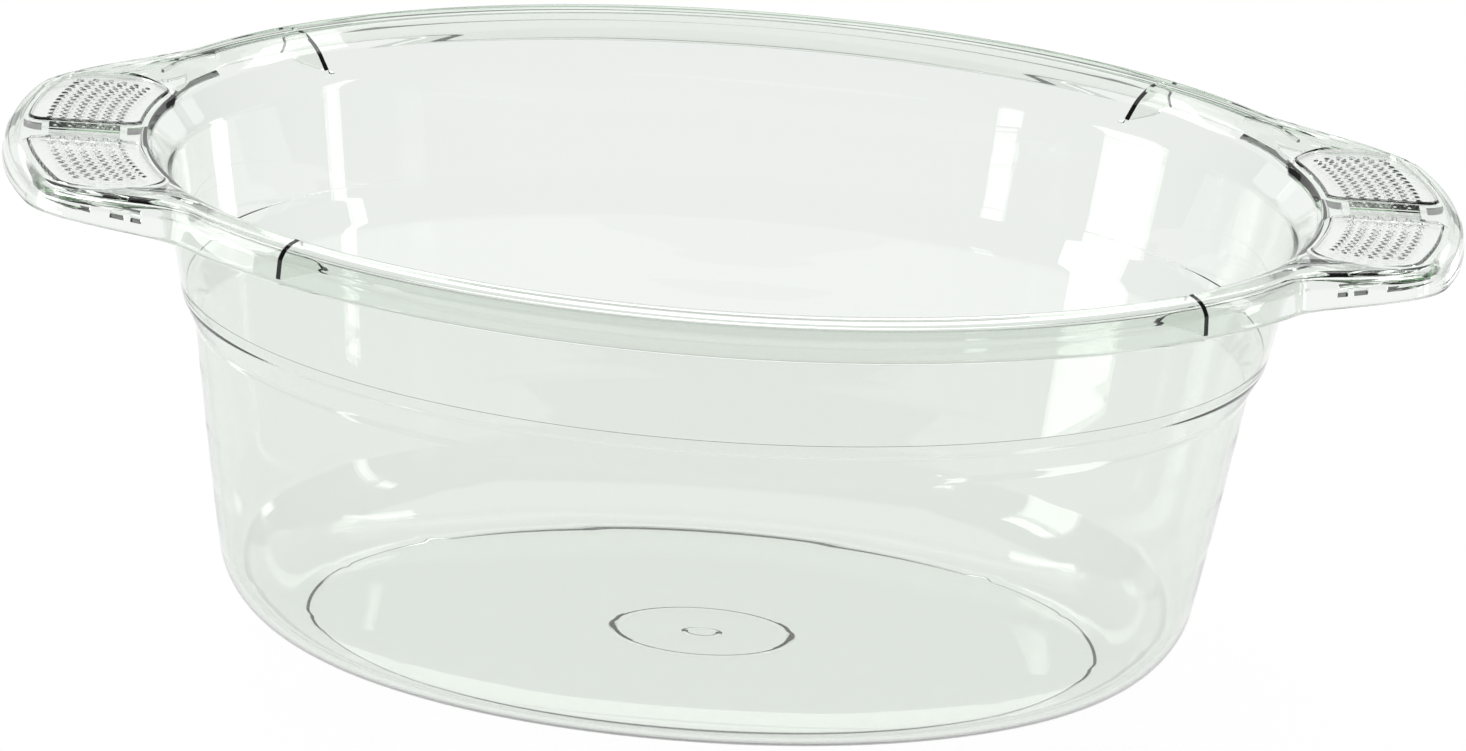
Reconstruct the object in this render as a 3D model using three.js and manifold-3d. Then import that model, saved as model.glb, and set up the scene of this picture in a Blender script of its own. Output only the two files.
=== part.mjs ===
// A clear moulded baby bathtub with two grip handles.
// Millimetres. +X runs along the handles, +Z is up, and the origin is under the middle of the base.

import * as THREE from "three";
import { mergeVertices } from "three/addons/utils/BufferGeometryUtils.js";
import Module from "manifold-3d";

const DEGREE = Math.PI / 180;

// Every ring of the basin is an ellipse named by its half length, and all have this width to length.
const PLAN_RATIO = 0.84;

// Thickness of the moulded skin.
const SKIN = 2.6;
const HALF_SKIN = SKIN / 2;

// Basin, measured to the middle of the skin: half lengths and heights. The floor is flat.
const FLOOR_HALF = 144.6;
const BASE_FILLET = 30.7;
const WALL_FOOT_TURN = 80.7;
const SHOULDER = [
  { half: 188.7, z: 109.2 },
  { half: 190.8, z: 114.6 },
  { half: 193.4, z: 119.2 },
  { half: 195, z: 123 },
];
const WALL_TOP = { half: 203.5, z: 164.5 };

// Rim, measured to the middle of the skin. earZ is the height of the same line on the handles.
const RIM_BOTTOM_Z = 165.5;
const RIM_STATIONS = [
  { half: 206.4, z: 168.4, earZ: 168.4, outward: 0 },
  { half: 212.2, z: 174.1, earZ: 173.9, outward: 0 },
  { half: 217.1, z: 177.5, earZ: 174.6, outward: 0 },
  { half: 221.3, z: 178.9, earZ: 174.6, outward: 0.7 },
  { half: 225.5, z: 179.5, earZ: 174.6, outward: 1 },
  { half: 229.2, z: 177, earZ: 172.8, outward: 1 },
  { half: 230.8, z: 173, earZ: 170.2, outward: 1 },
  { half: 231.3, z: RIM_BOTTOM_Z, earZ: RIM_BOTTOM_Z, outward: 1 },
];

// Handles: how far they stand out past the rim, and the polar angles where they fade into it.
const EAR_REACH = 30.3;
const EAR_FULL_ANGLE = 13 * DEGREE;
const EAR_END_ANGLE = 27.5 * DEGREE;
const EAR_TOP_Z = 175.9;

// Grip pads: two on each handle, either side of a bridge across the middle.
const PAD_INNER_HALF = 214;
const PAD_WIDTH = 40.5;
const PAD_LENGTH = 62;
const PAD_END_ANGLE = 15.5 * DEGREE;
const PAD_END_BULGE = 2.6 * DEGREE;
const PAD_CORNER = 5;
const BRIDGE_HALF = 10.5;
const PAD_THICKNESS = 3.2;
const PAD_PROUD = 0.8;
const PAD_GAP = 0.3;
const PAD_SEAT_MARGIN = 2;

// A shallow pocket sunk in the bridge.
const POCKET = { fromX: 221, toX: 246.5, halfWidth: 9, depth: 3 };

// Webs across the hollow of the rim.
const WEB_THICKNESS = 2;
const WEB_BOTTOM_Z = 167;
const RIM_WEB_ANGLE = 40 * DEGREE;

// Low curved ribs under the roots of the handles: plan lines where x and y are positive, and how far
// the ribs hang below the middle of the skin.
const ROOT_RIB_DEPTH = 2.6;
const ROOT_RIBS = [
  { line: [[188, 97.5], [194, 93.4], [200.5, 86.5], [206.5, 78]], thickness: 1.2 },
  { line: [[187, 87], [194, 76], [200, 64], [204.5, 53]], thickness: 1.6 },
];

// Ridges along the inner face of a handle's skirt. Reach and apex are shares of a ridge's height.
const RIDGE_REACH = 0.46;
const RIDGE_APEX = 0.3;
const SKIRT_RIDGES = [
  { fromX: 212, toX: 243, lowZ: 172.4, highZ: 175 },
  { fromX: 230, toX: 247.5, lowZ: 169.7, highZ: 172.1 },
  { fromX: 217.8, toX: 223, lowZ: 169.7, highZ: 172.1 },
  { fromX: 211.8, toX: 215.6, lowZ: 169.7, highZ: 172.1 },
];

// Facets: fine steps round the handles, coarse ones along the sides.
const FINE_STEP = 3 * DEGREE;
const COARSE_STEP = 7 * DEGREE;

const wasm = await Module();
wasm.setup();

const smoothStep = (u) => {
  const t = THREE.MathUtils.clamp(u, 0, 1);
  return t * t * (3 - 2 * t);
};

// Plan distance from the origin to the ellipse of half length 1, at a polar angle.
const ellipseReach = (angle) => 1 / Math.hypot(Math.cos(angle), Math.sin(angle) / PLAN_RATIO);

// 1 on a handle, 0 on the plain rim, and smooth between.
function earShare(angle) {
  const fromHandle = Math.acos(Math.abs(Math.cos(angle)));
  return smoothStep((EAR_END_ANGLE - fromHandle) / (EAR_END_ANGLE - EAR_FULL_ANGLE));
}

// The polar angles of the tub's sections, once round.
function sectionAngles() {
  const angles = [];
  for (const side of [0, Math.PI]) {
    for (let a = -EAR_END_ANGLE; a < EAR_END_ANGLE - 1e-6; a += FINE_STEP) {
      angles.push(side + a);
    }
    for (let a = EAR_END_ANGLE; a < Math.PI - EAR_END_ANGLE - 1e-6; a += COARSE_STEP) {
      angles.push(side + a);
    }
  }
  return angles;
}

// Middle line of the basin's skin, from the axis out to the top of the wall.
function basinStations() {
  const stations = [{ half: 0, z: HALF_SKIN }];
  for (const turn of [0, 20, 40, 60, WALL_FOOT_TURN]) {
    stations.push({
      half: FLOOR_HALF + BASE_FILLET * Math.sin(turn * DEGREE),
      z: HALF_SKIN + BASE_FILLET * (1 - Math.cos(turn * DEGREE)),
    });
  }
  stations.push(...SHOULDER, WALL_TOP);
  return stations.map((s) => ({ ...s, earZ: s.z, outward: 0 }));
}

const STATIONS = [...basinStations(), ...RIM_STATIONS];

// Middle line of the skin in the vertical plane at a polar angle, as (distance from the axis, height).
function middleLine(angle) {
  const share = earShare(angle);
  return STATIONS.map(
    (s) =>
      new THREE.Vector2(
        s.half * ellipseReach(angle) + s.outward * EAR_REACH * share,
        THREE.MathUtils.lerp(s.z, s.earZ, share),
      ),
  );
}

// A line moved sideways by a distance, with mitred corners; the first point stays on the axis.
function offsetLine(line, distance) {
  const normals = [];
  for (let i = 0; i + 1 < line.length; i++) {
    const along = line[i + 1].clone().sub(line[i]).normalize();
    normals.push(new THREE.Vector2(-along.y, along.x));
  }
  return line.map((point, i) => {
    const before = normals[Math.max(i - 1, 0)];
    const after = normals[Math.min(i, normals.length - 1)];
    const mitre = before.clone().add(after).normalize();
    const moved = point.clone().addScaledVector(mitre, distance / mitre.dot(after));
    return i === 0 ? new THREE.Vector2(0, moved.y) : moved;
  });
}

// A closed position-only geometry from triangles of [x, y, z] points.
function geometryOf(points, triangles) {
  const geometry = new THREE.BufferGeometry();
  geometry.setAttribute("position", new THREE.Float32BufferAttribute(points.flat(), 3));
  geometry.setIndex(triangles.flat());
  return geometry;
}

// The tub's skin: sections joined round, closed over the axis above and below.
function skinGeometry() {
  const angles = sectionAngles();
  const points = [];
  const triangles = [];
  let ring = 0;
  let poles = [];
  for (const angle of angles) {
    const middle = middleLine(angle);
    const upper = offsetLine(middle, HALF_SKIN);
    const lower = offsetLine(middle, -HALF_SKIN);
    const loop = [...upper.slice(1), ...lower.slice(1).reverse()];
    ring = loop.length;
    poles = [upper[0].y, lower[0].y];
    for (const p of loop) {
      points.push([p.x * Math.cos(angle), p.x * Math.sin(angle), p.y]);
    }
  }
  const top = points.push([0, 0, poles[0]]) - 1;
  const bottom = points.push([0, 0, poles[1]]) - 1;
  for (let i = 0; i < angles.length; i++) {
    const here = i * ring;
    const next = ((i + 1) % angles.length) * ring;
    triangles.push([top, here, next], [bottom, next + ring - 1, here + ring - 1]);
    for (let j = 0; j + 1 < ring; j++) {
      triangles.push([here + j, here + j + 1, next + j + 1], [here + j, next + j + 1, next + j]);
    }
  }
  return geometryOf(points, triangles);
}

function solidOf(geometry) {
  const bare = geometry.clone();
  bare.deleteAttribute("normal");
  bare.deleteAttribute("uv");
  const merged = mergeVertices(bare, 1e-4);
  return new wasm.Manifold(
    new wasm.Mesh({
      numProp: 3,
      vertProperties: new Float32Array(merged.attributes.position.array),
      triVerts: new Uint32Array(merged.index.array),
    }),
  );
}

function geometryFromSolid(solid) {
  const mesh = solid.getMesh();
  const geometry = new THREE.BufferGeometry();
  geometry.setAttribute("position", new THREE.BufferAttribute(mesh.vertProperties, 3));
  geometry.setIndex(new THREE.BufferAttribute(mesh.triVerts, 1));
  geometry.computeVertexNormals();
  return geometry;
}

// A prism over a plan outline, between two heights.
function prism(outline, fromZ, toZ) {
  const geometry = new THREE.ExtrudeGeometry(outline, { depth: toZ - fromZ, bevelEnabled: false });
  return solidOf(geometry.translate(0, 0, fromZ));
}

// A rounded rectangle from (0, 0) to (width, length), grown by a margin, as points.
function roundedRectangle(width, length, corner, margin) {
  const points = [];
  const centres = [
    [width - corner, corner, -90],
    [width - corner, length - corner, 0],
    [corner, length - corner, 90],
    [corner, corner, 180],
  ];
  for (const [x, y, from] of centres) {
    for (const turn of [0, 30, 60, 90]) {
      const angle = (from + turn) * DEGREE;
      points.push([
        x + (corner + margin) * Math.cos(angle),
        y + (corner + margin) * Math.sin(angle),
      ]);
    }
  }
  return points;
}

// Points added along each straight side, so that it can bend.
function subdivided(points, longest) {
  return points.flatMap(([x, y], i) => {
    const [nextX, nextY] = points[(i + 1) % points.length];
    const pieces = Math.ceil(Math.hypot(nextX - x, nextY - y) / longest);
    return Array.from({ length: pieces }, (_, k) => [
      x + ((nextX - x) * k) / pieces,
      y + ((nextY - y) * k) / pieces,
    ]);
  });
}

// A pad's plan outline on the +X handle's +Y side: a rounded rectangle bent round the rim.
function padOutline(margin) {
  const flat = subdivided(roundedRectangle(PAD_WIDTH, PAD_LENGTH, PAD_CORNER, margin), 9);
  return flat.map(([across, along]) => {
    const half = PAD_INNER_HALF + across;
    const u = across / PAD_WIDTH;
    const endAngle = PAD_END_ANGLE + PAD_END_BULGE * 4 * u * (1 - u);
    const startAngle = Math.asin(BRIDGE_HALF / half);
    const angle = startAngle + ((endAngle - startAngle) * along) / PAD_LENGTH;
    const distance = half * ellipseReach(angle);
    return new THREE.Vector2(distance * Math.cos(angle), distance * Math.sin(angle));
  });
}

// A plan outline carried to one of the four pads; x and y are the signs of its corner of the tub.
function mirroredShape(outline, x, y) {
  const placed = outline.map((p) => new THREE.Vector2(p.x * x, p.y * y));
  return new THREE.Shape(x * y < 0 ? placed.reverse() : placed);
}

// A web across the rim's hollow, in the vertical plane at a polar angle.
function rimWeb(angle) {
  const line = middleLine(angle).slice(STATIONS.indexOf(RIM_STATIONS[0]));
  const foot = middleLine(angle)[STATIONS.indexOf(RIM_STATIONS[0]) - 1];
  const profile = [
    new THREE.Vector2(foot.x, WEB_BOTTOM_Z),
    ...line.filter((p) => p.y > WEB_BOTTOM_Z),
    new THREE.Vector2(line.at(-1).x, WEB_BOTTOM_Z),
  ];
  const geometry = new THREE.ExtrudeGeometry(new THREE.Shape(profile), {
    depth: WEB_THICKNESS,
    bevelEnabled: false,
  });
  geometry.translate(0, 0, -WEB_THICKNESS / 2);
  geometry.rotateX(90 * DEGREE);
  geometry.rotateZ(angle);
  return solidOf(geometry);
}

// Where a station's ring crosses the plane at x, on one side of the tub.
function crossingAt(station, x, side) {
  let inner = 0;
  let outer = 90 * DEGREE;
  for (let i = 0; i < 40; i++) {
    const angle = (inner + outer) / 2;
    if (middleLine(angle)[station].x * Math.cos(angle) > Math.abs(x)) inner = angle;
    else outer = angle;
  }
  const point = middleLine(inner)[station];
  return { y: side * point.x * Math.sin(inner), z: point.y };
}

// Height of the middle of the rim's skin over a plan point.
function skinHeight(x, y) {
  const line = middleLine(Math.atan2(y, x));
  const distance = Math.hypot(x, y);
  const first = STATIONS.indexOf(RIM_STATIONS[0]);
  const i = line.findIndex((p, k) => k >= first && p.x >= distance);
  const share = (distance - line[i - 1].x) / (line[i].x - line[i - 1].x);
  return THREE.MathUtils.lerp(line[i - 1].y, line[i].y, share);
}

// A solid through cross-sections with the same number of [x, y, z] points.
function sweptSolid(sections) {
  const count = sections[0].length;
  const points = sections.flat();
  const last = points.length - count;
  const triangles = [];
  for (let i = 1; i + 1 < count; i++) {
    triangles.push([0, i, i + 1], [last, last + i + 1, last + i]);
  }
  for (let start = 0; start < last; start += count) {
    for (let i = 0; i < count; i++) {
      const here = start + i;
      const next = start + ((i + 1) % count);
      triangles.push([here, here + count, next + count], [here, next + count, next]);
    }
  }
  return solidOf(geometryOf(points, triangles));
}

// A low rib hanging from the skin along a smooth plan line, where x and y are positive.
function rootRib({ line, thickness }) {
  const curve = new THREE.SplineCurve(line.map(([x, y]) => new THREE.Vector2(x, y)));
  const sections = [];
  for (let i = 0; i <= 9; i++) {
    const centre = curve.getPoint(i / 9);
    const along = curve.getTangent(i / 9);
    const side = new THREE.Vector2(along.y, -along.x).multiplyScalar(thickness / 2);
    const top = skinHeight(centre.x, centre.y);
    const bottom = top - ROOT_RIB_DEPTH;
    sections.push([
      [centre.x - side.x, centre.y - side.y, bottom],
      [centre.x + side.x, centre.y + side.y, bottom],
      [centre.x + side.x, centre.y + side.y, top],
      [centre.x - side.x, centre.y - side.y, top],
    ]);
  }
  return sweptSolid(sections);
}

// A ridge on the inner face of the skirt, where x and y are positive, with its root inside the skin.
function skirtRidge({ fromX, toX, lowZ, highZ }) {
  const height = highZ - lowZ;
  const sections = [];
  for (let i = 0; i <= 5; i++) {
    const x = fromX + ((toX - fromX) * i) / 5;
    const { y } = crossingAt(STATIONS.length - 1, x, 1);
    const face = y - HALF_SKIN - 0.2;
    sections.push([
      [x, y, lowZ],
      [x, face, lowZ],
      [x, face - height * RIDGE_REACH, lowZ + height * RIDGE_APEX],
      [x, face, highZ],
      [x, y, highZ],
    ]);
  }
  return sweptSolid(sections);
}

// A box centred across the handle, on the handle of the given sign.
function bridgeBox(sign, fromX, toX, halfWidth, fromZ, toZ) {
  const geometry = new THREE.BoxGeometry(toX - fromX, 2 * halfWidth, toZ - fromZ);
  return solidOf(geometry.translate((sign * (fromX + toX)) / 2, 0, (fromZ + toZ) / 2));
}

// The solid block that the pocket is cut into.
function pocketTray(sign) {
  const { fromX, toX, halfWidth, depth } = POCKET;
  const bottom = EAR_TOP_Z - depth - SKIN;
  const top = EAR_TOP_Z - HALF_SKIN;
  return bridgeBox(sign, fromX - SKIN, toX + SKIN, halfWidth + SKIN, bottom, top);
}

function pocketHollow(sign) {
  const { fromX, toX, halfWidth, depth } = POCKET;
  return bridgeBox(sign, fromX, toX, halfWidth, EAR_TOP_Z - depth, EAR_TOP_Z + SKIN);
}

const CORNERS = [
  { name: "left_rear", x: -1, y: 1 },
  { name: "left_front", x: -1, y: -1 },
  { name: "right_rear", x: 1, y: 1 },
  { name: "right_front", x: 1, y: -1 },
];

const clearPlastic = new THREE.MeshStandardMaterial({
  color: 0xdcebe2,
  roughness: 0.05,
  metalness: 0,
  transparent: true,
  opacity: 0.4,
});
const texturedPlastic = new THREE.MeshStandardMaterial({
  color: 0xe6ebe7,
  roughness: 0.25,
  metalness: 0,
  transparent: true,
  opacity: 0.6,
});

function tubShell() {
  const recessFloor = EAR_TOP_Z + PAD_PROUD - PAD_THICKNESS - PAD_GAP;
  let tub = solidOf(skinGeometry());
  for (const { x, y } of CORNERS) {
    const seat = mirroredShape(padOutline(PAD_SEAT_MARGIN), x, y);
    tub = tub.add(prism(seat, recessFloor - SKIN, EAR_TOP_Z - HALF_SKIN));
    tub = tub.add(rimWeb(Math.atan2(y * Math.sin(RIM_WEB_ANGLE), x * Math.cos(RIM_WEB_ANGLE))));
    for (const rib of [...ROOT_RIBS.map(rootRib), ...SKIRT_RIDGES.map(skirtRidge)]) {
      tub = tub.add(rib.scale([x, y, 1]));
    }
  }
  for (const sign of [-1, 1]) {
    tub = tub.add(pocketTray(sign)).subtract(pocketHollow(sign));
  }
  for (const { x, y } of CORNERS) {
    const recess = mirroredShape(padOutline(PAD_GAP), x, y);
    tub = tub.subtract(prism(recess, recessFloor, EAR_TOP_Z + SKIN));
  }
  const mesh = new THREE.Mesh(geometryFromSolid(tub), clearPlastic);
  mesh.name = "tub_shell";
  return mesh;
}

function gripPad({ name, x, y }) {
  const top = EAR_TOP_Z + PAD_PROUD;
  const pad = prism(mirroredShape(padOutline(0), x, y), top - PAD_THICKNESS, top);
  const mesh = new THREE.Mesh(geometryFromSolid(pad), texturedPlastic);
  mesh.name = "grip_pad_" + name;
  return mesh;
}

const bathtub = new THREE.Group();
bathtub.add(tubShell());
for (const corner of CORNERS) {
  bathtub.add(gripPad(corner));
}

export default bathtub;
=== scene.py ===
"""A clear moulded baby bathtub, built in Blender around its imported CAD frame.

Shapes are worked out in millimetres and made in metres. Every ring of the basin is an ellipse
that is named by its half length, and all of them have the same width to length.
"""

import math

import bmesh
import bpy
import numpy as np
from mathutils import Matrix, Vector


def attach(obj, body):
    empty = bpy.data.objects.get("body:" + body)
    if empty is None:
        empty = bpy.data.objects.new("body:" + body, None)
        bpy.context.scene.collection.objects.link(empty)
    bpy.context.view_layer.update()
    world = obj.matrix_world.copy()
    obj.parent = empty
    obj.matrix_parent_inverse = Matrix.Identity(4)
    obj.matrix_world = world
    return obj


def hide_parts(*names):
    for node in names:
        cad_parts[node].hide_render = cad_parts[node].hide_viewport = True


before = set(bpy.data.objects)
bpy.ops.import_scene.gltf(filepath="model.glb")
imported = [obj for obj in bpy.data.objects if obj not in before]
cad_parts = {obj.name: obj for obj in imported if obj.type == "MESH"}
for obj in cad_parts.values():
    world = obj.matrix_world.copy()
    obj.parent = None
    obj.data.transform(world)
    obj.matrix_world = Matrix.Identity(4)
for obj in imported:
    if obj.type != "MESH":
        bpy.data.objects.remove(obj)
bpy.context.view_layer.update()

MM = 0.001

# ---------------------------------------------------------------------------------------------
# Dimensions
# ---------------------------------------------------------------------------------------------

PLAN_RATIO = 0.84
SECTIONS = 480

# Control points of one section: half length, height, fillet radius, and on a handle the share of
# the handle's reach that is added, the height and the radius. INSIDE runs from the axis over the
# floor, the wall and the rim to the foot of the skirt, and OUTSIDE from the axis along the
# underside of the same skin.
EAR_REACH = 30.3
INSIDE = [
    (0, 2.6, 0, 0, 2.6, 0),
    (169.2, 2.6, 29.4, 0, 2.6, 29.4),
    (180, 62, 2600, 0, 62, 2600),
    (187.6, 111.5, 5.4, 0, 111.5, 5.4),
    (192.9, 121.6, 3, 0, 121.6, 3),
    (193.8, 125.6, 0, 0, 125.6, 0),
    (194.3, 125.8, 0, 0, 125.8, 0),
    (201.7, 163.3, 8, 0, 163.3, 8),
    (209.6, 173.8, 10, 0, 173.4, 6),
    (217.2, 178.7, 12, -0.2, 175.9, 1.2),
    (224.6, 181.3, 1.5, 0.5, 175.9, 1.5),
    (229.3, 179.6, 4, 1.06, 175.9, 5),
    (232.1, 175, 3, 1.01, 168.4, 2),
    (232.6, 165.5, 1.1, 1, 165.5, 1.1),
]
OUTSIDE = [
    (0, 0, 0, 0, 0, 0),
    (171.4, 0, 32, 0, 0, 32),
    (182.6, 62, 2600, 0, 62, 2600),
    (190.2, 110.3, 8, 0, 110.3, 8),
    (195.7, 120.8, 6, 0, 120.8, 6),
    (204.6, 162.6, 5, 0, 162.6, 5),
    (211.3, 171.6, 7, 0, 170.9, 3),
    (214.6, 175.4, 12, -0.058, 173.3, 2),
    (220.6, 178.4, 2, 0.619, 173.3, 1.5),
    (227.7, 177, 2.5, 1.04, 173.3, 3.5),
    (229.6, 173.9, 2, 1.01, 168.4, 2),
    (230, 165.5, 1.1, 1, 165.5, 1.1),
]
INSIDE_STEPS = [1, 12, 3, 4, 3, 0, 0, 4, 4, 4, 4, 5, 3, 4]
OUTSIDE_STEPS = [1, 12, 3, 4, 4, 4, 4, 4, 4, 4, 3, 4]
RIM_ROWS = 7

# Extra points hold the flat stretches flat: this far from each end of a stretch over this length.
HOLD_IN = 0.8
HOLD_OVER = 6

# Fine grooves moulded into the underside of the floor: half length, half width and depth.
GROOVES = [(6.2, 1.2, 0.65), (32.3, 1.3, 0.65), (142.7, 0.6, 0.4)]

EAR_FULL_ANGLE = math.radians(13)
EAR_END_ANGLE = math.radians(27.5)
EAR_TOP = 175.9

WEB_THICKNESS = 2
WEB_BOTTOM = 167
RIM_WEB_ANGLE = math.radians(40)

# Low curved ribs under the roots of the handles, as (x, y) lines in the corner where both are
# positive, and how far they hang below the middle of the skin.
ROOT_RIB_DEPTH = 2.6
ROOT_RIB_SECTIONS = 24
ROOT_RIBS = [
    {"line": [(188, 97.5), (194, 93.4), (200.5, 86.5), (206.5, 78)], "thickness": 1.2},
    {"line": [(187, 87), (194, 76), (200, 64), (204.5, 53)], "thickness": 1.6},
]

# Ridges along the inner face of a handle's skirt: from and to x, and from and to height. Reach and
# apex are shares of a ridge's height, and the foot is how far its edges stand off the skin.
RIDGE_REACH = 0.46
RIDGE_APEX = 0.3
RIDGE_FOOT = 0.2
RIDGE_SECTIONS = 12
SKIRT_RIDGES = [
    (212, 243, 172.4, 175),
    (230, 247.5, 169.7, 172.1),
    (217.8, 223, 169.7, 172.1),
    (211.8, 215.6, 169.7, 172.1),
]

# Polar angles that hold the side of a handle's skirt, and how finely it is looked up there.
SKIRT_SPAN = (math.radians(8), math.radians(32))
SKIRT_SAMPLES = 600

# The open pocket between the two pads of a handle.
POCKET = {"from_x": 221, "to_x": 246.5, "half_width": 9, "depth": 3}
SKIN = 2.6

PAD_INNER_HALF = 214
PAD_WIDTH = 40.5
PAD_LENGTH = 62
PAD_END_ANGLE = math.radians(15.5)
PAD_END_BULGE = math.radians(2.6)
PAD_CORNER = 5
PAD_START_Y = 10.5
PAD_THICKNESS = 3.2
PAD_PROUD = 0.8
PAD_EDGE = 0.8
PAD_GAP = 0.3
PAD_SEAT_MARGIN = 2
PAD_CORNER_STEP = 9
PAD_SIDE_POINTS = 30
PAD_EDGE_STEP = 15

# A pad starts as a slab that reaches past its outline, and is then trimmed by a prism that goes on
# above it. The prism's rounded edge stops just under the slab's face, so that no faces coincide.
SLAB_MARGIN = 2
SLAB_DEPTH = 3 * PAD_THICKNESS
TRIM_CLEAR = 0.001
TRIM_ABOVE = 3

# Raised dots: rows of large ones, and small ones between.
DOT_FIELD_HALF = (221.5, 247)
DOT_FIELD_ALONG = (1.5, 51)
DOT_ROWS = 6
DOTS_IN_ROW = 12
DOT_RADIUS = 1
DOT_HEIGHT = 0.42
SMALL_DOT_RADIUS = 0.6
SMALL_DOT_HEIGHT = 0.25
DOT_STEP = 0.3

# Edges sharper than this stay sharp, in degrees.
TUB_SMOOTH_ANGLE = 28
PAD_SMOOTH_ANGLE = 40

CORNERS = {
    "left_rear": (-1, 1),
    "left_front": (-1, -1),
    "right_rear": (1, 1),
    "right_front": (1, -1),
}

# ---------------------------------------------------------------------------------------------
# Sections of the tub
# ---------------------------------------------------------------------------------------------


def smooth_step(u):
    t = np.clip(u, 0, 1)
    return t * t * (3 - 2 * t)


def ellipse_reach(angle):
    """Plan distance from the origin to the ellipse of half length 1, at a polar angle."""
    return 1 / np.hypot(np.cos(angle), np.sin(angle) / PLAN_RATIO)


def ear_share(angle):
    """1 on a handle, 0 on the plain rim, and smooth between."""
    from_handle = np.arccos(np.abs(np.cos(angle)))
    return smooth_step((EAR_END_ANGLE - from_handle) / (EAR_END_ANGLE - EAR_FULL_ANGLE))


def control_points(rows, angle):
    """Control points (distance from the axis, height) and radii at each polar angle."""
    share = ear_share(angle)
    reach = ellipse_reach(angle)
    points = []
    radii = []
    for half, z, radius, outward, ear_z, ear_radius in rows:
        distance = half * reach + outward * EAR_REACH * share
        height = z + (ear_z - z) * share
        points.append(np.stack([distance, height], -1))
        radii.append(radius + (ear_radius - radius) * share)
    return points, radii


def grooved(rows):
    """The underside's control points with the floor's grooves added, and their fillet steps."""
    added = []
    for half, half_width, depth in GROOVES:
        for offset, z in ((-half_width, 0), (0, depth), (half_width, 0)):
            added.append((half + offset, z, 0, 0, z, 0))
    return [rows[0], *added, *rows[1:]], [1, *[0] * len(added), *OUTSIDE_STEPS[1:]]


def filleted(points, radii, steps):
    """A line through control points with its corners rounded to arcs, one array for each point."""
    line = [points[0]]
    for i in range(1, len(points) - 1):
        before = points[i] - points[i - 1]
        after = points[i + 1] - points[i]
        before /= np.linalg.norm(before, axis=-1, keepdims=True)
        after /= np.linalg.norm(after, axis=-1, keepdims=True)
        turn = np.arccos(np.clip((before * after).sum(-1), -1, 1))
        cut = (radii[i] * np.tan(turn / 2))[..., None]
        weight = np.cos(turn / 2)[..., None]
        start = points[i] - before * cut
        end = points[i] + after * cut
        for u in np.linspace(0, 1, steps[i] + 1):
            shares = ((1 - u) ** 2, 2 * u * (1 - u) * weight, u**2)
            total = shares[0] + shares[1] + shares[2]
            line.append((shares[0] * start + shares[1] * points[i] + shares[2] * end) / total)
    line.append(points[-1])
    return with_holds(line)


def with_holds(line):
    """The line with extra points near both ends of its long stretches."""
    result = []
    for i, point in enumerate(line):
        result.append(point)
        if i + 1 == len(line):
            break
        stretch = line[i + 1] - point
        length = np.linalg.norm(stretch, axis=-1, keepdims=True)
        if length.max() > HOLD_OVER:
            share = np.minimum(HOLD_IN / length, 0.3)
            result.append(point + stretch * share)
            result.append(point + stretch * (1 - share))
    return result


def section_loop(angle):
    """One section's closed line from the axis round the skin and back to the axis."""
    inside, inside_radii = control_points(INSIDE, angle)
    rows, steps = grooved(OUTSIDE)
    outside, outside_radii = control_points(rows, angle)
    return filleted(
        inside + outside[::-1],
        inside_radii + outside_radii[::-1],
        INSIDE_STEPS + steps[::-1],
    )


def middle_rim(angle):
    """Middle of the skin from the top of the wall to the foot of the skirt."""
    inside, inside_radii = control_points(INSIDE[-RIM_ROWS:], angle)
    outside, outside_radii = control_points(OUTSIDE[-RIM_ROWS:], angle)
    points = [(a + b) / 2 for a, b in zip(inside, outside)]
    radii = [(a + b) / 2 for a, b in zip(inside_radii, outside_radii)]
    return filleted(points, radii, OUTSIDE_STEPS[-RIM_ROWS:])


# ---------------------------------------------------------------------------------------------
# Meshes
# ---------------------------------------------------------------------------------------------


def new_object(name, points, faces):
    """An object from points in millimetres and faces of point numbers."""
    mesh = bpy.data.meshes.new(name)
    mesh.from_pydata((np.asarray(points) * MM).tolist(), [], faces)
    mesh.validate()
    built = bpy.data.objects.new(name, mesh)
    bpy.context.scene.collection.objects.link(built)
    return built


def tub_skin():
    """The whole skin as one closed loft."""
    angles = np.arange(SECTIONS) * 2 * math.pi / SECTIONS
    loop = section_loop(angles)
    ring = np.stack(loop[1:-1], 1)
    count = ring.shape[1]
    x = ring[..., 0] * np.cos(angles)[:, None]
    y = ring[..., 0] * np.sin(angles)[:, None]
    points = np.stack([x, y, ring[..., 1]], -1).reshape(-1, 3)
    top = len(points)
    bottom = top + 1
    points = np.vstack([points, [0, 0, loop[0][0][1]], [0, 0, loop[-1][0][1]]])
    faces = []
    for i in range(SECTIONS):
        here = i * count
        after = (i + 1) % SECTIONS * count
        faces.append((top, here, after))
        faces.append((bottom, after + count - 1, here + count - 1))
        for j in range(count - 1):
            faces.append((here + j, here + j + 1, after + j + 1, after + j))
    return new_object("tub_skin", points, faces)


def prism(name, outline, low, high):
    """A prism over a plan outline that runs anticlockwise."""
    count = len(outline)
    points = [(x, y, low) for x, y in outline] + [(x, y, high) for x, y in outline]
    faces = [tuple(range(count))[::-1], tuple(range(count, 2 * count))]
    for i in range(count):
        after = (i + 1) % count
        faces.append((i, after, after + count, i + count))
    return new_object(name, points, faces)


def box(name, low, high):
    outline = [(low[0], low[1]), (high[0], low[1]), (high[0], high[1]), (low[0], high[1])]
    return prism(name, outline, low[2], high[2])


def upright_slab(name, profile, thickness, place):
    """A slab over a profile of (along, height) points; place turns (along, across) into x and y."""
    count = len(profile)
    points = []
    for side in (-0.5, 0.5):
        for along, height in profile:
            x, y = place(along, side * thickness)
            points.append((x, y, height))
    faces = [tuple(range(count)), tuple(range(count, 2 * count))[::-1]]
    for i in range(count):
        after = (i + 1) % count
        faces.append((after, i, i + count, after + count))
    slab = new_object(name, points, faces)
    outward_normals(slab)
    return slab


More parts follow.
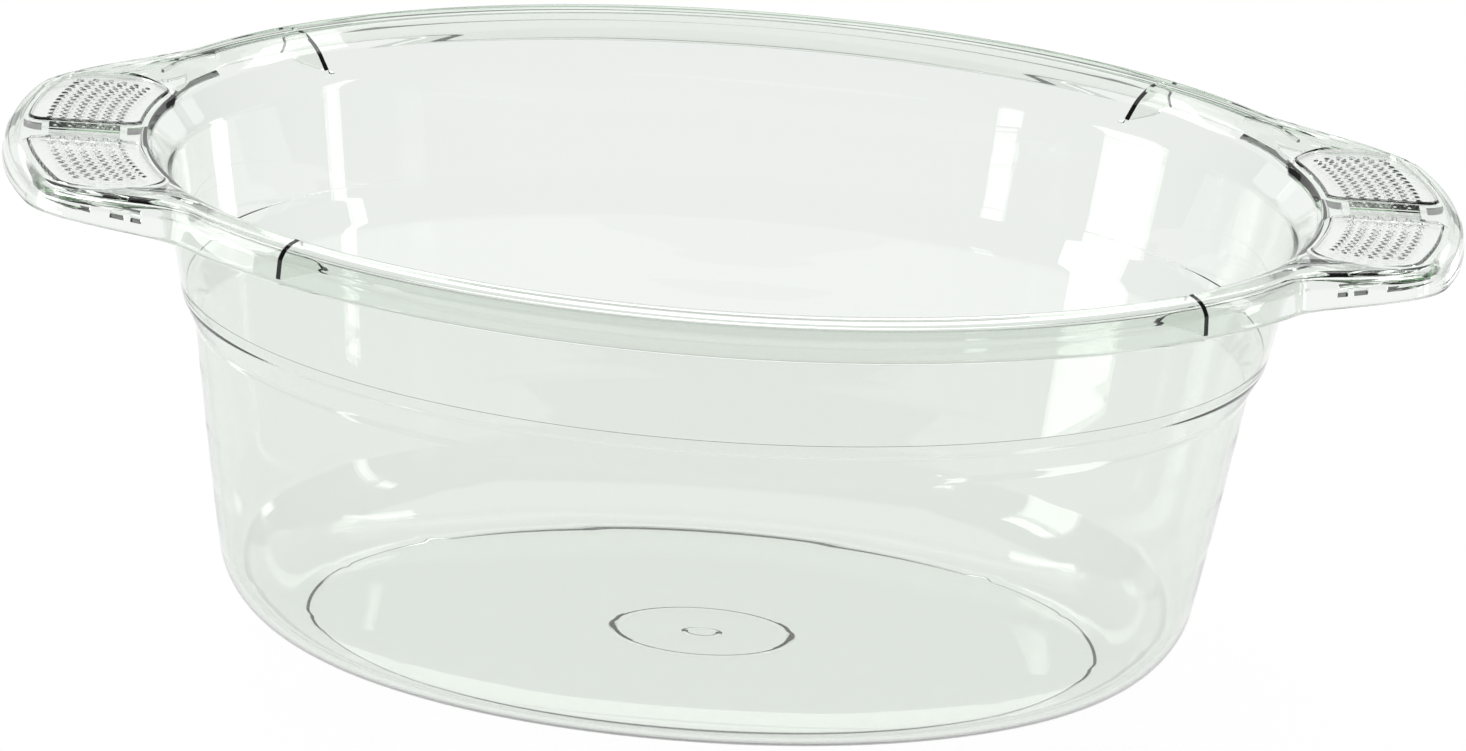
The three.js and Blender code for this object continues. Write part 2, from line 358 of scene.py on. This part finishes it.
def outward_normals(piece):
    edit = bmesh.new()
    edit.from_mesh(piece.data)
    bmesh.ops.recalc_face_normals(edit, faces=edit.faces)
    edit.to_mesh(piece.data)
    edit.free()


def combine(target, tools, operation):
    """Joins tools to target, cuts them from it or keeps what they share, and deletes the tools."""
    for tool in tools:
        modifier = target.modifiers.new("combine", "BOOLEAN")
        modifier.operation = operation
        modifier.solver = "MANIFOLD"
        modifier.object = tool
        bpy.context.view_layer.objects.active = target
        bpy.ops.object.modifier_apply(modifier=modifier.name)
        mesh = tool.data
        bpy.data.objects.remove(tool)
        bpy.data.meshes.remove(mesh)


def shade(piece, angle):
    """Smooth shading that keeps edges sharper than an angle in degrees."""
    piece.data.polygons.foreach_set("use_smooth", [True] * len(piece.data.polygons))
    piece.data.set_sharp_from_angle(angle=math.radians(angle))


# ---------------------------------------------------------------------------------------------
# Webs, ribs, pockets and grip pads
# ---------------------------------------------------------------------------------------------


def web_profile(line):
    """A web's profile: down from the skin's middle line, given as (along, height) points."""
    inner = next(i for i, p in enumerate(line) if p[1] > WEB_BOTTOM)
    upper = [tuple(p) for p in line[inner:] if p[1] > WEB_BOTTOM]
    return [(line[inner - 1][0], WEB_BOTTOM), *upper, (line[-1][0], WEB_BOTTOM)]


def rim_web(x_sign, y_sign):
    angle = math.atan2(y_sign * math.sin(RIM_WEB_ANGLE), x_sign * math.cos(RIM_WEB_ANGLE))
    line = [p[0] for p in middle_rim(np.array([angle]))]
    c = math.cos(angle)
    s = math.sin(angle)
    return upright_slab(
        "rim_web",
        web_profile(line),
        WEB_THICKNESS,
        lambda along, across: (along * c - across * s, along * s + across * c),
    )


def skin_height(x, y):
    """Height of the middle of the rim's skin over a plan point."""
    line = [p[0] for p in middle_rim(np.array([math.atan2(abs(y), abs(x))]))]
    return float(np.interp(math.hypot(x, y), [p[0] for p in line], [p[1] for p in line]))


def sweep(name, sections):
    """A closed solid through cross-sections that have the same number of points."""
    count = len(sections[0])
    points = [point for section in sections for point in section]
    last = len(points) - count
    faces = [tuple(range(count)), tuple(range(last, last + count))]
    for start in range(0, last, count):
        for i in range(count):
            after = (i + 1) % count
            faces.append((start + i, start + after, start + count + after, start + count + i))
    swept = new_object(name, points, faces)
    outward_normals(swept)
    return swept


def root_rib(x_sign, y_sign, line, thickness):
    """A wall hanging from the skin along a smooth plan line through the given points."""
    points = np.array(line, float)
    lengths = np.linalg.norm(np.diff(points, axis=0), axis=1)
    at = np.concatenate([[0], np.cumsum(lengths)])
    fine = np.linspace(0, at[-1], ROOT_RIB_SECTIONS)
    x, y = (np.polyval(np.polyfit(at, points[:, i], 3), fine) for i in (0, 1))
    across = np.stack([np.gradient(y), -np.gradient(x)], 1)
    across *= thickness / 2 / np.linalg.norm(across, axis=1, keepdims=True)
    sections = []
    for centre, side in zip(np.stack([x, y], 1), across):
        top = skin_height(*centre)
        section = []
        for (px, py), z in (
            (centre - side, top - ROOT_RIB_DEPTH),
            (centre + side, top - ROOT_RIB_DEPTH),
            (centre + side, top),
            (centre - side, top),
        ):
            section.append((x_sign * px, y_sign * py, z))
        sections.append(section)
    return sweep("root_rib", sections)


def skirt_at(x):
    """Plan y of the middle of a handle's skirt, on the side where y is positive."""
    angles = np.linspace(*SKIRT_SPAN, SKIRT_SAMPLES)
    half = (INSIDE[-1][0] + OUTSIDE[-1][0]) / 2
    skirt = half * ellipse_reach(angles) + EAR_REACH * ear_share(angles)
    return float(np.interp(-x, -skirt * np.cos(angles), skirt * np.sin(angles)))


def skirt_ridge(x_sign, y_sign, from_x, to_x, low, high):
    """A ridge on the inner face of the skirt, with its roots inside the skin."""
    sections = []
    for x in np.linspace(from_x, to_x, RIDGE_SECTIONS):
        middle = skirt_at(x)
        face = middle - SKIN / 2 - RIDGE_FOOT
        section = []
        for y, z in (
            (middle, low),
            (face, low),
            (face - (high - low) * RIDGE_REACH, low + (high - low) * RIDGE_APEX),
            (face, high),
            (middle, high),
        ):
            section.append((x_sign * x, y_sign * y, z))
        sections.append(section)
    return sweep("skirt_ridge", sections)


def pocket_box(name, x_sign, margin, low, high):
    xs = sorted((x_sign * (POCKET["from_x"] - margin), x_sign * (POCKET["to_x"] + margin)))
    y = POCKET["half_width"] + margin
    return box(name, (xs[0], -y, low), (xs[1], y, high))


def bent(half, along):
    """Plan point of a grip pad from its half length and its distance along, 0 to PAD_LENGTH."""
    u = (half - PAD_INNER_HALF) / PAD_WIDTH
    end = PAD_END_ANGLE + PAD_END_BULGE * 4 * u * (1 - u)
    start = np.arcsin(PAD_START_Y / half)
    angle = start + (end - start) * along / PAD_LENGTH
    distance = half * ellipse_reach(angle)
    return distance * np.cos(angle), distance * np.sin(angle)


def pad_outline(margin, x_sign, y_sign):
    """A pad's plan outline, a rounded rectangle bent round the rim, grown by a margin."""
    corners = (
        (PAD_WIDTH - PAD_CORNER, PAD_CORNER, -90),
        (PAD_WIDTH - PAD_CORNER, PAD_LENGTH - PAD_CORNER, 0),
        (PAD_CORNER, PAD_LENGTH - PAD_CORNER, 90),
        (PAD_CORNER, PAD_CORNER, 180),
    )
    flat = []
    radius = PAD_CORNER + margin
    for i, (across, along, start) in enumerate(corners):
        for turn in range(0, 91, PAD_CORNER_STEP):
            angle = math.radians(start + turn)
            flat.append((across + radius * math.cos(angle), along + radius * math.sin(angle)))
        next_across, next_along, _ = corners[(i + 1) % 4]
        angle = math.radians(start + 90)
        side = np.array([radius * math.cos(angle), radius * math.sin(angle)])
        for share in np.linspace(0, 1, PAD_SIDE_POINTS)[1:-1]:
            middle = np.array([across, along]) * (1 - share)
            middle += np.array([next_across, next_along]) * share
            flat.append(tuple(middle + side))
    outline = []
    for across, along in flat:
        x, y = bent(PAD_INNER_HALF + across, along)
        outline.append((x_sign * x, y_sign * y))
    return outline if x_sign * y_sign > 0 else outline[::-1]


def stacked_prism(name, outlines, heights):
    """A prism whose outline changes with height; the outlines have the same number of points."""
    count = len(outlines[0])
    points = [(x, y, z) for outline, z in zip(outlines, heights) for x, y in outline]
    last = (len(outlines) - 1) * count
    faces = [tuple(range(count))[::-1], tuple(range(last, last + count))]
    for level in range(0, last, count):
        for i in range(count):
            after = (i + 1) % count
            faces.append((level + i, level + after, level + after + count, level + i + count))
    return new_object(name, points, faces)


def dots(half, along, rows, columns, radius, height, shift):
    """Height of a lattice of round dots over the pad's face; shift moves it by part of a cell."""
    row_pitch = (DOT_FIELD_HALF[1] - DOT_FIELD_HALF[0]) / (rows - 1)
    column_pitch = (DOT_FIELD_ALONG[1] - DOT_FIELD_ALONG[0]) / (columns - 1)
    row = (half - DOT_FIELD_HALF[0]) / row_pitch - shift
    column = (along - DOT_FIELD_ALONG[0]) / column_pitch - shift
    nearest_row = np.clip(np.round(row), 0, rows - 1 - math.ceil(shift))
    nearest_column = np.clip(np.round(column), 0, columns - 1 - math.ceil(shift))
    away = np.hypot((row - nearest_row) * row_pitch, (column - nearest_column) * column_pitch)
    return height * np.clip(1 - (away / radius) ** 4, 0, 1)


def dot_height(half, along):
    large = dots(half, along, DOT_ROWS, DOTS_IN_ROW, DOT_RADIUS, DOT_HEIGHT, 0)
    small = (SMALL_DOT_RADIUS, SMALL_DOT_HEIGHT)
    between = dots(half, along, 2 * DOT_ROWS - 1, DOTS_IN_ROW, *small, 0.5)
    return np.maximum(large, between)


def grip_pad(corner):
    """A pad: a slab with raised dots on its top, trimmed to its outline."""
    x_sign, y_sign = CORNERS[corner]
    outer_half = PAD_INNER_HALF + PAD_WIDTH
    halves = np.arange(PAD_INNER_HALF - SLAB_MARGIN, outer_half + SLAB_MARGIN, DOT_STEP)
    alongs = np.arange(-SLAB_MARGIN, PAD_LENGTH + SLAB_MARGIN, DOT_STEP)
    half, along = np.meshgrid(halves, alongs, indexing="ij")
    x, y = bent(half, along)
    top = EAR_TOP + PAD_PROUD
    z = top + dot_height(half, along)
    face = np.stack([x_sign * x, y_sign * y, z], -1).reshape(-1, 3)
    base = face.copy()
    base[:, 2] = top - SLAB_DEPTH
    rows, columns = half.shape
    count = rows * columns
    faces = []
    for i in range(rows - 1):
        for j in range(columns - 1):
            a = i * columns + j
            faces.append((a, a + columns, a + columns + 1, a + 1))
    edge = [(i, 0) for i in range(rows)]
    edge += [(rows - 1, j) for j in range(1, columns)]
    edge += [(i, columns - 1) for i in range(rows - 2, -1, -1)]
    edge += [(0, j) for j in range(columns - 2, 0, -1)]
    loop = [i * columns + j for i, j in edge]
    faces.append(tuple(n + count for n in loop[::-1]))
    for i, here in enumerate(loop):
        after = loop[(i + 1) % len(loop)]
        faces.append((here, here + count, after + count, after))
    used = np.unique(np.concatenate([np.arange(count), np.array(loop) + count]))
    number = np.full(2 * count, -1)
    number[used] = np.arange(len(used))
    points = np.vstack([face, base])[used]
    faces = [tuple(int(number[n]) for n in f) for f in faces]
    pad = new_object("grip_" + corner, points, faces)
    outward_normals(pad)
    outlines = [pad_outline(0, x_sign, y_sign)]
    heights = [top - PAD_THICKNESS]
    for turn in range(0, 91, PAD_EDGE_STEP):
        inset = PAD_EDGE * (1 - math.cos(math.radians(turn)))
        outlines.append(pad_outline(-inset, x_sign, y_sign))
        heights.append(top - PAD_EDGE * (1 - math.sin(math.radians(turn))) - TRIM_CLEAR)
    outlines.append(outlines[-1])
    heights.append(top + TRIM_ABOVE)
    combine(pad, [stacked_prism("outline", outlines, heights)], "INTERSECT")
    shade(pad, PAD_SMOOTH_ANGLE)
    return pad


def tub():
    body = tub_skin()
    outward_normals(body)
    recess_floor = EAR_TOP + PAD_PROUD - PAD_THICKNESS - PAD_GAP
    top = EAR_TOP - SKIN / 2
    added = []
    cut = []
    for x_sign, y_sign in CORNERS.values():
        seat = pad_outline(PAD_SEAT_MARGIN, x_sign, y_sign)
        added.append(prism("seat", seat, recess_floor - SKIN, top))
        added.append(rim_web(x_sign, y_sign))
        added.extend(root_rib(x_sign, y_sign, **rib) for rib in ROOT_RIBS)
        added.extend(skirt_ridge(x_sign, y_sign, *ridge) for ridge in SKIRT_RIDGES)
        recess = pad_outline(PAD_GAP, x_sign, y_sign)
        cut.append(prism("recess", recess, recess_floor, EAR_TOP + SKIN))
    for x_sign in (-1, 1):
        bottom = EAR_TOP - POCKET["depth"]
        added.append(pocket_box("tray", x_sign, SKIN, bottom - SKIN, top))
        cut.append(pocket_box("pocket", x_sign, 0, bottom, EAR_TOP + SKIN))
    combine(body, added, "UNION")
    combine(body, cut, "DIFFERENCE")
    body.name = "clear_tub"
    shade(body, TUB_SMOOTH_ANGLE)
    return body


# ---------------------------------------------------------------------------------------------
# Materials
# ---------------------------------------------------------------------------------------------


PLASTIC_IOR = 1.49
ABSORBED = (0.3, 0.65, 0.3, 1)


def clear_plastic(name, tint, roughness, density):
    """Clear plastic with a faint green tint that deepens where it is thick."""
    material = bpy.data.materials.new(name)
    material.use_nodes = True
    nodes = material.node_tree.nodes
    links = material.node_tree.links
    shader = nodes["Principled BSDF"]
    shader.inputs["Base Color"].default_value = (*tint, 1)
    shader.inputs["Transmission Weight"].default_value = 1
    shader.inputs["Roughness"].default_value = roughness
    shader.inputs["IOR"].default_value = PLASTIC_IOR
    volume = nodes.new("ShaderNodeVolumeAbsorption")
    volume.inputs["Color"].default_value = ABSORBED
    volume.inputs["Density"].default_value = density
    links.new(volume.outputs["Volume"], nodes["Material Output"].inputs["Volume"])
    return material


def pale_floor():
    """A matt white floor lit evenly from within, so that the tub's shadow on it stays faint."""
    material = bpy.data.materials.new("pale_floor")
    material.use_nodes = True
    shader = material.node_tree.nodes["Principled BSDF"]
    shader.inputs["Base Color"].default_value = (0.06, 0.06, 0.06, 1)
    shader.inputs["Roughness"].default_value = 1
    shader.inputs["Specular IOR Level"].default_value = 0
    shader.inputs["Emission Color"].default_value = (1, 1, 1, 1)
    shader.inputs["Emission Strength"].default_value = 0.96
    return material


# ---------------------------------------------------------------------------------------------
# The object
# ---------------------------------------------------------------------------------------------

shell = tub()
shell.data.materials.clear()
shell.data.materials.append(clear_plastic("clear_tub_plastic", (0.903, 0.918, 0.9), 0, 16))
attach(shell, "root")
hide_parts("tub_shell")

grip_plastic = clear_plastic("clear_grip_plastic", (0.99, 0.995, 0.99), 0.04, 2)
for corner in CORNERS:
    pad = grip_pad(corner)
    pad.data.materials.clear()
    pad.data.materials.append(grip_plastic)
    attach(pad, "root")
    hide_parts("grip_pad_" + corner)

# ---------------------------------------------------------------------------------------------
# Floor, light and camera
# ---------------------------------------------------------------------------------------------

FLOOR_SIDE = 3500
FLOOR_FRONT = -3000
FLOOR_REAR = 8000
FLOOR_Z = -0.3

floor = new_object(
    "floor",
    [
        (-FLOOR_SIDE, FLOOR_FRONT, FLOOR_Z),
        (FLOOR_SIDE, FLOOR_FRONT, FLOOR_Z),
        (FLOOR_SIDE, FLOOR_REAR, FLOOR_Z),
        (-FLOOR_SIDE, FLOOR_REAR, FLOOR_Z),
    ],
    [(0, 1, 2, 3)],
)
floor.data.materials.append(pale_floor())

world = bpy.data.worlds.new("studio")
bpy.context.scene.world = world
world.use_nodes = True
background = world.node_tree.nodes["Background"]
background.inputs["Color"].default_value = (1, 1, 1, 1)
background.inputs["Strength"].default_value = 0.2


def softbox(name, place, aim, size, radiance):
    """A rectangular area light whose face has the given radiance."""
    data = bpy.data.lights.new(name, "AREA")
    data.shape = "RECTANGLE"
    data.size = size[0] * MM
    data.size_y = size[1] * MM
    data.energy = radiance * math.pi * data.size * data.size_y
    lamp = bpy.data.objects.new(name, data)
    bpy.context.scene.collection.objects.link(lamp)
    lamp.location = Vector(place) * MM
    lamp.rotation_euler = (Vector(aim) - Vector(place)).to_track_quat("-Z", "Y").to_euler()
    return lamp


# Name, place, the point it faces, width and height, and radiance.
SOFTBOXES = [
    ("overhead", (0, 400, 3200), (0, 0, 0), (5200, 4200), 0.9),
    ("rear_sky", (0, 2600, 2200), (0, 0, 0), (6400, 2400), 0.7),
    ("low_sky", (0, 3000, 850), (0, 0, 87), (4200, 1000), 0.75),
    ("rear_sky_left", (-1800, 1500, 2700), (0, 0, 170), (900, 900), 3),
    ("rear_sky_right", (1800, 1500, 2700), (0, 0, 170), (900, 900), 3),
    ("left_panel", (-900, -60, 350), (0, -60, 350), (300, 700), 4),
    ("right_strip", (900, -60, 350), (0, -60, 350), (60, 700), 4),
    ("front_window", (-1050, -825, 260), (0, 60, 200), (110, 300), 4),
    ("rear_window", (640, 600, 70), (-150, 60, 120), (110, 120), 4),
]
for row in SOFTBOXES:
    softbox(*row)

CAMERA_DISTANCE = 6303
CAMERA_AZIMUTH = math.radians(-2.44)
CAMERA_ELEVATION = math.radians(17.44)
CAMERA_ROLL = math.radians(4.22)
PIVOT = Vector((0, 0, 87))

camera_data = bpy.data.cameras.new("camera")
camera_data.sensor_width = 36
camera_data.lens = 430
camera_data.shift_x = 0.01
camera_data.shift_y = 0.0212
camera_data.clip_end = 60
camera = bpy.data.objects.new("camera", camera_data)
bpy.context.scene.collection.objects.link(camera)
level = math.cos(CAMERA_ELEVATION)
forward = Vector(
    (
        -math.sin(CAMERA_AZIMUTH) * level,
        math.cos(CAMERA_AZIMUTH) * level,
        -math.sin(CAMERA_ELEVATION),
    )
)
turn = forward.to_track_quat("-Z", "Y").to_matrix() @ Matrix.Rotation(CAMERA_ROLL, 3, "Z")
camera.matrix_world = Matrix.Translation((PIVOT - forward * CAMERA_DISTANCE) * MM) @ turn.to_4x4()
bpy.context.scene.camera = camera
bpy.context.scene.view_settings.view_transform = "Standard"
bpy.context.scene.cycles.max_bounces = 24
bpy.context.scene.cycles.transmission_bounces = 24
